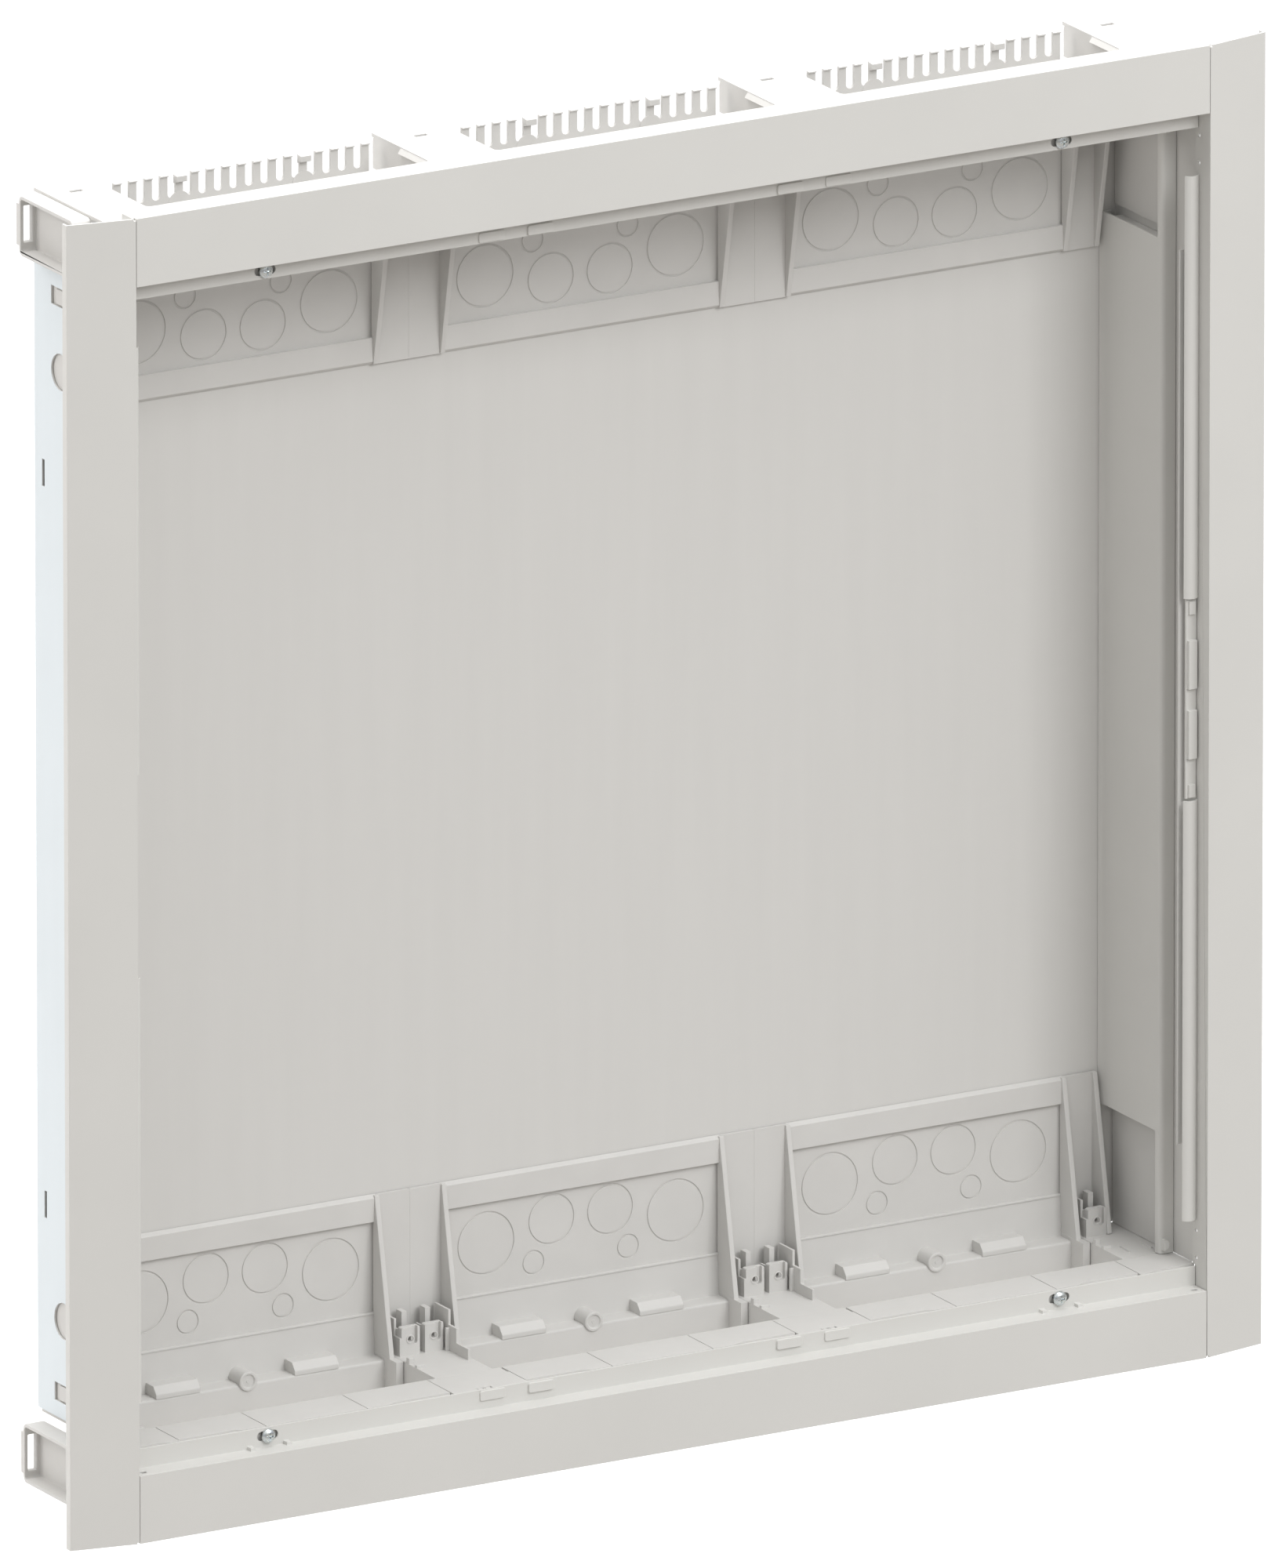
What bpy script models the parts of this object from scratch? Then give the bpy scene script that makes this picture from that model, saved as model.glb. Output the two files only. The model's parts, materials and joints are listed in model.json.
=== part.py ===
"""Flush-mounted three-field distribution board: wall box, cable entries and adjustable front frame.

Millimetres are used throughout and turned into metres in one place, world(). A point is
given as x (to the right), depth (behind the front plane of the frame) and inset (distance
from the upper end of the frame). Everything is drawn for the upper end and the right-hand
side, then mirrored, because the board is symmetric about both of its middle planes.
"""
import math

import bmesh
import bpy

# Driving dimensions of the whole board.
MM = 0.001
FRAME_SIZE = 864.0
HALF = FRAME_SIZE / 2.0
DEPTH = 123.0
FIELD_PITCH = 250.0
GAP = 0.3
MERGE = 0.000002
SHEET = 1.5
WALL = 2.5

# Bezel frame: folded steel rails and stiles.
FACE_WIDTH = 45.0
OPENING_HALF = HALF - FACE_WIDTH
RAIL_HEIGHT = 44.5
RAIL_RETURN = 15.3
FLANGE_DEPTH = 14.3
FLANGE_INSET = 57.2
STILE_TILT = 8.8
STILE_RETURN = 14.2
STILE_TAB_DEPTH = 18.7
LIP_START = 88.0
LIP_END = 365.5
LIP_EDGE = 378.0

# Frame screws, M5 with a pan head, and the slots that they pass through.
SCREW_X = 287.0
SCREW_INSET = 51.6
SCREW_RADIUS = 2.5
SCREW_LENGTH = 24.0
HEAD_RADIUS = 4.7
HEAD_HEIGHT = 3.0
SLOT_LENGTH = 15.0
SLOT_WIDTH = 6.0

# Box: steel back, side walls and the folded profiles inside them.
BACK_FRONT = 121.5
BACK_INSET = 144.5
BACK_HALF = 389.2
WALL_OUTER = 391.0
WALL_INSET = 57.3
WALL_FRONT = 20.0
WALL_LIP = 376.5
WALL_INNER = WALL_OUTER - SHEET
WINDOW = ((62.0, 67.8), (101.4, 67.8), (101.4, 79.8), (62.0, 79.8))
WALL_SLOT = ((110.6, 184.0), (113.6, 184.0), (113.6, 201.7), (110.6, 201.7))
PROFILE_INSET = 137.7
PROFILE_X = 379.0
PROFILE_FRONT = 46.0

# Plastic end assembly: plate, front covers, modules, combs and corner pockets.
PLATE_INSET = 10.0
PLATE_FOOT = PLATE_INSET + WALL + GAP
DUCT_REAR = 121.5
COVER_FRONT = 17.0
COVER_REAR = 50.0
COVER_INSET = 57.0
COVER_HALF = 97.8
JUNCTION_HALF = 26.7
BRIDGE_HALF = 20.6
SKIRT_REAR = 104.0
MODULE_HALF = 124.8
MODULE_INSET = 160.0
RECESS_HALF = 101.0
LAST_COLUMN = FIELD_PITCH + MODULE_HALF
END_COLUMN = FIELD_PITCH * 1.5
TROUGH_REAR = 105.0
DUCT_WALL_INSET = 32.7
COMB_HALF = 91.6
COMB_DEPTH = 109.5
COMB_THICKNESS = 2.0
COMB_TOP = 11.6
COMB_ROOT = 27.0
COMB_FOOT = 37.0
TEETH = 17
SLOT_GAP = 5.7
POCKET_X = 405.0
POCKET_FRONT = 49.0
POCKET_REAR = 117.3

PAINTED = ("painted_steel", (0.79, 0.785, 0.765), 0.42, 0.0)
GALVANISED = ("coated_sheet", (0.80, 0.815, 0.82), 0.38, 0.3)
PLASTIC = ("grey_plastic", (0.70, 0.70, 0.685), 0.5, 0.0)
ZINC = ("zinc_steel", (0.72, 0.76, 0.80), 0.28, 1.0)


def world(x, depth, inset):
    """Turn board coordinates in millimetres into world coordinates in metres."""
    return (x * MM, (depth - DEPTH) * MM, (HALF - inset) * MM)


def along_x(distance, point):
    return world(distance, point[0], point[1])


def along_depth(distance, point):
    return world(point[0], distance, point[1])


def along_inset(distance, point):
    return world(point[0], point[1], distance)


def prism(place, outline, low, high):
    """Extrude a closed outline between two distances in the direction that place() names."""
    mesh = bpy.data.meshes.new("prism")
    shape = bmesh.new()
    rings = [[shape.verts.new(place(distance, point)) for point in outline] for distance in (low, high)]
    shape.faces.new(rings[0])
    shape.faces.new(rings[1])
    for index in range(len(outline)):
        following = (index + 1) % len(outline)
        shape.faces.new((rings[0][index], rings[0][following], rings[1][following], rings[1][index]))
    bmesh.ops.recalc_face_normals(shape, faces=shape.faces)
    shape.to_mesh(mesh)
    shape.free()
    solid = bpy.data.objects.new("prism", mesh)
    bpy.context.scene.collection.objects.link(solid)
    return solid


def box(x_range, depth_range, inset_range):
    low, high = depth_range
    near, far = inset_range
    outline = [(low, near), (high, near), (high, far), (low, far)]
    return prism(along_x, outline, x_range[0], x_range[1])


def arc(centre, radius, start, end, steps):
    """Points of a circular arc, with its angles in degrees."""
    points = []
    for index in range(steps + 1):
        angle = math.radians(start + (end - start) * index / steps)
        points.append((centre[0] + radius * math.cos(angle), centre[1] + radius * math.sin(angle)))
    return points


def circle(centre, radius, steps):
    return arc(centre, radius, 0.0, 360.0, steps)[:-1]


def rounded_rectangle(x_range, y_range, radius, steps=3):
    left, right = x_range[0] + radius, x_range[1] - radius
    low, high = y_range[0] + radius, y_range[1] - radius
    return (
        arc((right, high), radius, 0.0, 90.0, steps)
        + arc((left, high), radius, 90.0, 180.0, steps)
        + arc((left, low), radius, 180.0, 270.0, steps)
        + arc((right, low), radius, 270.0, 360.0, steps)
    )


def combine(target, operation, tools):
    """Apply exact Booleans to target one by one and remove the solids that they used."""
    for tool in tools:
        modifier = target.modifiers.new(operation, "BOOLEAN")
        modifier.operation = operation
        modifier.solver = "EXACT"
        modifier.object = tool
        graph = bpy.context.evaluated_depsgraph_get()
        result = bpy.data.meshes.new_from_object(target.evaluated_get(graph))
        target.modifiers.clear()
        target.data = result
        tidy(result)
        bpy.data.objects.remove(tool)
    return target


def tidy(mesh):
    """Join the points that a Boolean leaves on top of each other."""
    shape = bmesh.new()
    shape.from_mesh(mesh)
    bmesh.ops.remove_doubles(shape, verts=shape.verts, dist=MERGE)
    bmesh.ops.dissolve_degenerate(shape, edges=shape.edges, dist=MERGE)
    shape.to_mesh(mesh)
    shape.free()


def fuse(target, *tools):
    return combine(target, "UNION", tools)


def carve(target, *tools):
    return combine(target, "DIFFERENCE", tools)


def material(spec):
    name, colour, roughness, metallic = spec
    if name in bpy.data.materials:
        return bpy.data.materials[name]
    made = bpy.data.materials.new(name)
    made.use_nodes = True
    shader = made.node_tree.nodes["Principled BSDF"]
    shader.inputs["Base Color"].default_value = (*colour, 1.0)
    shader.inputs["Roughness"].default_value = roughness
    shader.inputs["Metallic"].default_value = metallic
    return made


def finish(solid, name, spec):
    """Name a solid as a node and give it its own material."""
    solid.name = name
    solid.data.name = name
    solid.data.materials.clear()
    solid.data.materials.append(material(spec))
    return solid


def reflected(solid, name, flip_x=False, flip_z=False):
    """Copy a finished solid, mirrored in x, in z or in both, with its faces still outward."""
    copy = solid.copy()
    copy.data = solid.data.copy()
    copy.name = name
    copy.data.name = name
    bpy.context.scene.collection.objects.link(copy)
    shape = bmesh.new()
    shape.from_mesh(copy.data)
    for vertex in shape.verts:
        if flip_x:
            vertex.co.x = -vertex.co.x
        if flip_z:
            vertex.co.z = -vertex.co.z
    if flip_x != flip_z:
        bmesh.ops.reverse_faces(shape, faces=shape.faces)
    shape.to_mesh(copy.data)
    shape.free()
    return copy


def shifted(solid, name, distance):
    """Copy a finished solid to another place along x."""
    copy = solid.copy()
    copy.data = solid.data.copy()
    copy.name = name
    copy.data.name = name
    for vertex in copy.data.vertices:
        vertex.co.x += distance * MM
    bpy.context.scene.collection.objects.link(copy)
    return copy


def set_origin(solid, point):
    """Move a piece's origin to its joint's axis without moving the piece."""
    for vertex in solid.data.vertices:
        for index in range(3):
            vertex.co[index] -= point[index]
    solid.location = point


def smooth(solid):
    solid.data.shade_smooth()
    solid.data.set_sharp_from_angle(angle=math.radians(35.0))


def make_back_panel():
    """The steel back, with four tabs that run on beside the end modules."""
    half = FIELD_PITCH * 1.5 + 1.0
    outline = [(-BACK_HALF, WALL_INSET), (-half, WALL_INSET), (-half, BACK_INSET), (half, BACK_INSET),
               (half, WALL_INSET), (BACK_HALF, WALL_INSET)]
    lower = [(x, FRAME_SIZE - inset) for x, inset in reversed(outline)]
    panel = prism(along_depth, outline + lower, BACK_FRONT, DEPTH)
    return finish(panel, "back_panel", GALVANISED)


def make_side_walls():
    """Outer walls with a front lip, and at each end a clip window, a round hole and a slot."""
    wall = box((WALL_INNER, WALL_OUTER), (WALL_FRONT, DEPTH), (WALL_INSET, FRAME_SIZE - WALL_INSET))
    length = (PROFILE_INSET, FRAME_SIZE - PROFILE_INSET)
    lip = box((WALL_LIP, WALL_INNER + 0.5), (WALL_FRONT, WALL_FRONT + SHEET), length)
    fuse(wall, lip)
    cutters = []
    for sign in (1.0, -1.0):
        window = [(depth, HALF + sign * (inset - HALF)) for depth, inset in WINDOW]
        hole = circle((89.7, HALF + sign * (122.0 - HALF)), 12.0, 24)
        slot = [(depth, HALF + sign * (inset - HALF)) for depth, inset in WALL_SLOT]
        for outline in (window, hole, slot):
            cutters.append(prism(along_x, outline, WALL_INNER - 1.0, WALL_OUTER + 1.0))
    carve(wall, *cutters)
    finish(wall, "right_side_wall", GALVANISED)
    reflected(wall, "left_side_wall", flip_x=True)


def make_side_profiles():
    """Folded profiles that stand in front of the side walls, cut away beside the end modules."""
    front, turn = PROFILE_FRONT, 3.0
    outer = WALL_INNER - GAP
    foot = BACK_FRONT - GAP
    corner = arc((PROFILE_X + turn, front + turn), turn, 270.0, 180.0, 3)
    inner_corner = arc((PROFILE_X + turn, front + turn), turn - SHEET, 180.0, 270.0, 3)
    flange = [(outer, front)] + corner + [(PROFILE_X, front + 6.0), (PROFILE_X + SHEET, front + 6.0)]
    flange += inner_corner + [(outer, front + SHEET)]
    strip = prism(along_inset, flange, WALL_INSET, FRAME_SIZE - WALL_INSET)
    bend = 113.5
    leg = [(PROFILE_X, front + 5.0), (PROFILE_X, bend), (PROFILE_X - 2.0, foot), (PROFILE_X + 6.0, foot),
           (PROFILE_X + 6.0, foot - SHEET), (PROFILE_X, foot - SHEET), (PROFILE_X + SHEET, bend + 0.4),
           (PROFILE_X + SHEET, front + 5.0)]
    panel = prism(along_inset, leg, PROFILE_INSET, FRAME_SIZE - PROFILE_INSET)
    caps = []
    for inset in (PROFILE_INSET + 2.0, FRAME_SIZE - PROFILE_INSET - 2.0 - SHEET):
        caps.append(box((PROFILE_X + 0.5, outer), (front + 4.0, bend), (inset, inset + SHEET)))
    fuse(strip, panel, *caps)
    finish(strip, "right_side_profile", PAINTED)
    reflected(strip, "left_side_profile", flip_x=True)


def make_end_plates():
    """The outermost plate at each end, cut away behind the three ducts, with walls beside each duct."""
    plate = box((-WALL_OUTER, WALL_OUTER), (COVER_FRONT, DEPTH), (PLATE_INSET, PLATE_INSET + WALL))
    through = (PLATE_INSET - 1.0, PLATE_INSET + WALL + 1.0)
    front, high = COVER_REAR + 3.0, PLATE_INSET + 1.0
    corner = arc((DUCT_REAR - 4.0, high + 4.0), 4.0, 270.0, 360.0, 3)
    wall_outline = [(front, high)] + corner + [(DUCT_REAR, DUCT_WALL_INSET), (front, DUCT_WALL_INSET)]
    walls = []
    cutters = []
    for field in (-1, 0, 1):
        middle = field * FIELD_PITCH
        width = (middle - RECESS_HALF, middle + RECESS_HALF)
        outline = rounded_rectangle(width, (COVER_REAR, DEPTH + 5.0), 3.0)
        cutters.append(prism(along_inset, outline, *through))
        for start in (width[0] - 2.0, width[1]):
            walls.append(prism(along_x, wall_outline, start, start + 2.0))
    for middle in (-END_COLUMN + 3.0, -FIELD_PITCH / 2.0, FIELD_PITCH / 2.0, END_COLUMN - 3.0):
        cutters.append(box((middle - 4.5, middle + 4.5), (101.0, 105.0), through))
    carve(plate, *cutters)
    fuse(plate, *walls)
    finish(plate, "top_end_plate", PLASTIC)
    reflected(plate, "bottom_end_plate", flip_z=True)


def module_recess():
    """Cross-section of a module between its ribs: band, knock-out panel, band, ledge and duct wall."""
    return [(118.0, MODULE_INSET), (118.0, 142.2), (121.3, 142.2), (121.3, 82.0),
            (119.6, 82.0), (117.8, 55.0), (106.5, 55.0), (TROUGH_REAR, 53.5),
            (TROUGH_REAR, 33.0), (TROUGH_REAR + 2.2, 33.0), (TROUGH_REAR + 2.2, 52.5), (DEPTH, 52.5),
            (DEPTH, BACK_INSET - GAP), (BACK_FRONT - GAP, BACK_INSET - GAP),
            (BACK_FRONT - GAP, MODULE_INSET)]


def rib_outline(foot):
    """Triangular rib that widens from the module's inner end to its foot."""
    end = MODULE_INSET - 0.4
    return [(117.6, end), (98.9, foot + 1.5), (98.9, foot), (120.4, foot), (120.4, end)]


def make_module():
    """One end module, centred on x = 0: recess, two columns, two ribs, end walls, blocks and boss."""
    module = prism(along_x, module_recess(), -RECESS_HALF, RECESS_HALF)
    step = 0.2
    rear = DEPTH - step
    rest = BACK_FRONT - GAP - step
    column = [(118.8, MODULE_INSET - step), (118.8, COVER_INSET + step), (rear, COVER_INSET + step),
              (rear, BACK_INSET - GAP - step), (rest, BACK_INSET - GAP - step), (rest, MODULE_INSET - step)]
    added = []
    block = [(TROUGH_REAR - 0.3, 54.2), (TROUGH_REAR - 0.3, 58.5), (108.5, 62.5), (120.8, 62.5),
             (120.8, 54.2)]
    for side in (-1.0, 1.0):
        added.append(prism(along_x, column, side * 100.5, side * MODULE_HALF))
        added.append(prism(along_x, rib_outline(56.0), side * 99.0, side * 102.6))
        added.append(box((side * 98.8, side * 104.0), (90.0, 119.3), (33.4, 57.1)))
        added.append(prism(along_x, block, side * 34.0, side * 66.0))
    boss = prism(along_depth, circle((0.0, 56.6), 6.4, 16), 103.5, 121.0)
    fuse(module, *added, boss)
    cup = prism(along_depth, circle((0.0, 56.6), 4.2, 16), 102.0, 104.7)
    return carve(module, cup)


def make_modules():
    """Three modules at each end. The outer two have one more rib, next to the side profile."""
    centre = finish(make_module(), "top_centre_end_module", PLASTIC)
    right = shifted(centre, "top_right_end_module", FIELD_PITCH)
    outer_rib = prism(along_x, rib_outline(COVER_INSET + GAP), LAST_COLUMN - 3.0, LAST_COLUMN + 0.5)
    fuse(right, outer_rib)
    reflected(right, "top_left_end_module", flip_x=True)
    for place in ("left", "centre", "right"):
        upper = bpy.data.objects[f"top_{place}_end_module"]
        reflected(upper, f"bottom_{place}_end_module", flip_z=True)


def comb_outline():
    """Outline of a comb: a foot strip and teeth with round-bottomed slots between them."""
    pitch = (2.0 * COMB_HALF - (2.0 * COMB_HALF - (TEETH - 1) * SLOT_GAP) / TEETH) / (TEETH - 1)
    tooth = pitch - SLOT_GAP
    radius = SLOT_GAP / 2.0
    outline = [(-COMB_HALF, COMB_FOOT), (-COMB_HALF, COMB_TOP)]
    for index in range(TEETH - 1):
        edge = -COMB_HALF + tooth + index * pitch
        outline.append((edge, COMB_TOP))
        outline += arc((edge + radius, COMB_ROOT - radius), radius, 180.0, 0.0, 4)
        outline.append((edge + SLOT_GAP, COMB_TOP))
    return outline + [(COMB_HALF, COMB_TOP), (COMB_HALF, COMB_FOOT)]


def make_combs():
    """Snap-in cable combs behind the ducts, each able to slide out towards its end."""
    comb = prism(along_depth, comb_outline(), COMB_DEPTH, COMB_DEPTH + COMB_THICKNESS)
    finish(comb, "top_centre_comb", PLASTIC)
    shifted(comb, "top_right_comb", FIELD_PITCH)
    shifted(comb, "top_left_comb", -FIELD_PITCH)
    for place, field in (("left", -1), ("centre", 0), ("right", 1)):
        upper = bpy.data.objects[f"top_{place}_comb"]
        lower = reflected(upper, f"bottom_{place}_comb", flip_z=True)
        root = world(field * FIELD_PITCH, COMB_DEPTH, COMB_FOOT)
        set_origin(upper, root)
        set_origin(lower, (root[0], root[1], -root[2]))


def channel(half):
    """Cover plate with a front and a rear skirt that reach the end plate."""
    plate = box((-half, half), (COVER_FRONT, COVER_REAR), (COVER_INSET - WALL, COVER_INSET))
    front = box((-half, half), (COVER_FRONT, COVER_FRONT + 2.0), (PLATE_FOOT, COVER_INSET - 1.0))
    back = box((-half, half), (COVER_REAR - 2.0, COVER_REAR), (PLATE_FOOT, COVER_INSET - 1.0))
    return fuse(plate, front, back)


def make_front_covers():
    """Covers behind the frame's flange, one for each field. The outer ones let a frame screw through."""
    cover = channel(COVER_HALF)
    finish(cover, "top_centre_front_cover", PLASTIC)
    right = shifted(cover, "top_right_front_cover", FIELD_PITCH)
    passage = circle((SCREW_X, SCREW_INSET), SCREW_RADIUS + 0.8, 16)
    carve(right, prism(along_depth, passage, COVER_FRONT - 1.0, COVER_FRONT + 3.0))
    reflected(right, "top_left_front_cover", flip_x=True)
    for place in ("left", "centre", "right"):
        reflected(bpy.data.objects[f"top_{place}_front_cover"], f"bottom_{place}_front_cover", flip_z=True)


def clip_holder(centre):
    """A rail clip: a body with an open slot, and the finger behind that it snaps against."""
    low, high = centre - 6.7, centre + 6.7
    body = prism(along_depth, rounded_rectangle((low, high), (50.0, 75.5), 1.5, 2), 100.0, 105.0)
    finger = box((centre - 1.9, centre + 1.9), (108.5, 115.5), (55.5, 83.5))
    tie = box((centre - 1.5, centre + 1.5), (104.0, 109.5), (55.5, 62.0))
    slot = rounded_rectangle((centre + 1.0, centre + 4.8), (64.0, 80.0), 1.8, 3)
    hole = circle((centre - 0.3, 67.5), 1.7, 10)
    carve(body, prism(along_depth, slot, 98.0, 102.5), prism(along_depth, hole, 98.0, 107.0))
    return fuse(body, finger, tie)


def side_plate(x, profile):
    return prism(along_x, profile, x, x + 1.8)


def bridge(x_range, skirts):
    """The flat bridge from a cover back to the modules, with skirts down to the end plate."""
    plate = box(x_range, (COVER_REAR - 1.0, 117.8), (COVER_INSET - WALL, COVER_INSET))
    along = (COVER_REAR - 1.0, SKIRT_REAR)
    walls = [box((x, x + 2.0), along, (PLATE_FOOT, COVER_INSET - 1.0)) for x in skirts]
    return fuse(plate, *walls)


def stepped_plate():
    """Outline of the thin upright beside a clip, stepping down towards the front."""
    return [(73.0, 55.5), (116.0, 55.5), (116.0, 83.3), (98.0, 83.3), (98.0, 73.5), (88.0, 73.5),
            (88.0, 64.0), (73.0, 64.0)]


def short_plate():
    return [(100.0, 55.5), (116.0, 55.5), (116.0, 80.0), (107.5, 80.0), (107.5, 69.0), (100.0, 69.0)]


def make_junctions():
    """Cover, bridge and two rail clips between neighbouring fields."""
    cover = channel(JUNCTION_HALF)
    span = bridge((-BRIDGE_HALF, BRIDGE_HALF), (-BRIDGE_HALF, BRIDGE_HALF - 2.0))
    fuse(cover, span, clip_holder(-10.0), clip_holder(7.0))
    fuse(cover, side_plate(16.0, stepped_plate()), side_plate(-18.0, short_plate()))
    finish(cover, "junction", PLASTIC)
    for place, middle in (("left", -FIELD_PITCH / 2.0), ("right", FIELD_PITCH / 2.0)):
        upper = shifted(cover, f"top_{place}_junction", middle)
        reflected(upper, f"bottom_{place}_junction", flip_z=True)
    bpy.data.objects.remove(cover)


def make_corners():
    """Cover, bridge and single rail clip between an outer field and the side wall."""
    edge = WALL_INNER - GAP
    start = END_COLUMN - JUNCTION_HALF
    near = END_COLUMN - BRIDGE_HALF
    cover = box((start, edge), (COVER_FRONT, COVER_REAR), (COVER_INSET - WALL, COVER_INSET))
    front = box((start, edge), (COVER_FRONT, COVER_FRONT + 2.0), (PLATE_FOOT, COVER_INSET - 1.0))
    span = bridge((near, END_COLUMN + 0.5), (near,))
    shelf = box((END_COLUMN, edge), (COVER_REAR - 1.0, 117.8), (COVER_INSET - WALL, COVER_INSET))
    thickness = (COVER_INSET - WALL, COVER_INSET)
    border = box((LAST_COLUMN + 1.0, edge), (COVER_REAR, BACK_FRONT - GAP), thickness)
    fuse(cover, front, span, shelf, border, clip_holder(END_COLUMN - 10.0))
    fuse(cover, side_plate(END_COLUMN - 18.0, short_plate()))
    finish(cover, "top_right_corner_cover", PLASTIC)
    reflected(cover, "top_left_corner_cover", flip_x=True)
    reflected(cover, "bottom_right_corner_cover", flip_z=True)
    reflected(cover, "bottom_left_corner_cover", flip_x=True, flip_z=True)


def make_pockets():
    """Corner sockets outside the side walls, open to the side, for a wall anchor."""
    start = WALL_OUTER + GAP
    outline = rounded_rectangle((POCKET_FRONT, POCKET_REAR), (11.5, 50.5), 4.0)
    pocket = prism(along_x, outline, start, POCKET_X)
    rim = box((start + 2.0, POCKET_X), (POCKET_REAR - 1.0, 120.3), (17.0, 44.5))
    fuse(pocket, rim)
    hollow = rounded_rectangle((POCKET_FRONT + WALL, POCKET_REAR - 2.0), (11.5 + WALL, 50.5 - WALL), 2.0)
    carve(pocket, prism(along_x, hollow, start + WALL, POCKET_X + 1.0),
          box((396.0, 402.4), (110.0, 122.0), (18.6, 42.4)))
    finish(pocket, "top_right_corner_pocket", PLASTIC)
    reflected(pocket, "top_left_corner_pocket", flip_x=True)
    reflected(pocket, "bottom_right_corner_pocket", flip_z=True)
    reflected(pocket, "bottom_left_corner_pocket", flip_x=True, flip_z=True)


def make_wall_liners():
    """Plates that close the side walls' windows and round holes, with a nose in the window."""
    liner = box((WALL_INNER - 1.8, WALL_INNER - GAP), (52.0, 120.0), (COVER_INSET + GAP, 134.0))
    nose = box((WALL_INNER - 1.0, WALL_OUTER - 0.4), (64.0, 96.0), (69.0, 78.6))
    fuse(liner, nose)
    finish(liner, "top_right_wall_liner", PLASTIC)
    reflected(liner, "top_left_wall_liner", flip_x=True)
    reflected(liner, "bottom_right_wall_liner", flip_z=True)
    reflected(liner, "bottom_left_wall_liner", flip_x=True, flip_z=True)


def make_rails():
    """Upper and lower rail of the bezel, with the slotted inner flange that the screws clamp."""
    outline = [(RAIL_RETURN, 0.0), (0.0, 0.0), (0.0, RAIL_HEIGHT), (FLANGE_DEPTH, RAIL_HEIGHT),
               (FLANGE_DEPTH, FLANGE_INSET), (FLANGE_DEPTH + SHEET, FLANGE_INSET),
               (FLANGE_DEPTH + SHEET, RAIL_HEIGHT - SHEET), (SHEET, RAIL_HEIGHT - SHEET),
               (SHEET, SHEET), (RAIL_RETURN, SHEET)]
    rail = prism(along_x, outline, -OPENING_HALF + GAP, OPENING_HALF - GAP)
    slots = []
    for side in (-1.0, 1.0):
        middle = side * SCREW_X
        shape = rounded_rectangle((middle - SLOT_LENGTH / 2.0, middle + SLOT_LENGTH / 2.0),
                                  (SCREW_INSET - SLOT_WIDTH / 2.0, SCREW_INSET + SLOT_WIDTH / 2.0), 2.9, 3)
        slots.append(prism(along_depth, shape, FLANGE_DEPTH - 1.0, FLANGE_DEPTH + 3.0))
    carve(rail, *slots)
    finish(rail, "frame_top_rail", PAINTED)
    reflected(rail, "frame_bottom_rail", flip_z=True)


def stile_lip():
    """Cross-section of the rolled inner lip of a stile."""
    middle = (OPENING_HALF + LIP_EDGE) / 2.0
    reach = (OPENING_HALF - LIP_EDGE) / 2.0
    outer = arc((middle, FLANGE_DEPTH + 3.5), reach + 1.5, 205.0, 330.0, 7)
    inner = arc((middle, FLANGE_DEPTH + 3.5), reach + 0.2, 330.0, 205.0, 7)
    return outer + inner


def make_stiles():
    """Full-height stiles with a face that falls away to the outer edge."""
    face = OPENING_HALF
    return_end = FLANGE_DEPTH + 1.5
    outline = [(face, 0.0), (HALF, STILE_TILT), (HALF, STILE_RETURN), (HALF - SHEET, STILE_RETURN),
               (HALF - SHEET, STILE_TILT + 1.2), (face + SHEET, SHEET + 0.3), (face + SHEET, return_end),
               (face, return_end)]
    stile = prism(along_inset, outline, 0.0, FRAME_SIZE)
    added = []
    for low, high in ((LIP_START, LIP_END), (FRAME_SIZE - LIP_END, FRAME_SIZE - LIP_START)):
        added.append(prism(along_inset, stile_lip(), low, high))
    lip_gap = (LIP_END + 2.0, FRAME_SIZE - LIP_END - 2.0)
    for length in ((58.0, 86.0), lip_gap, (FRAME_SIZE - 86.0, FRAME_SIZE - 58.0)):
        added.append(box((face, face + SHEET), (FLANGE_DEPTH, STILE_TAB_DEPTH), length))
    fuse(stile, *added)
    holes = []
    for inset in (62.5, 80.5, FRAME_SIZE - 80.5, FRAME_SIZE - 62.5):
        holes.append(prism(along_x, circle((14.4, inset), 1.5, 8), face - 1.0, face + SHEET + 1.0))
    carve(stile, *holes)
    finish(stile, "frame_right_stile", PAINTED)
    reflected(stile, "frame_left_stile", flip_x=True)


def make_latch_strips():
    """Strips with raised latch blocks in the gap between the two lengths of each stile's lip."""
    near, far = 379.0, OPENING_HALF - GAP
    strip = box((near, far), (15.0, 16.8), (LIP_END + 1.0, FRAME_SIZE - LIP_END - 1.0))
    blocks = []
    for low, high in ((393.0, 425.0), (439.0, 471.0)):
        blocks.append(box((near + 0.8, far - 0.8), (12.4, 15.5), (low, high)))
    for low, high in ((367.5, 376.0), (FRAME_SIZE - 376.0, FRAME_SIZE - 367.5)):
        blocks.append(box((near + 1.6, far - 1.6), (13.2, 15.5), (low, high)))
    fuse(strip, *blocks)
    finish(strip, "right_latch_strip", PAINTED)
    reflected(strip, "left_latch_strip", flip_x=True)


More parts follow.
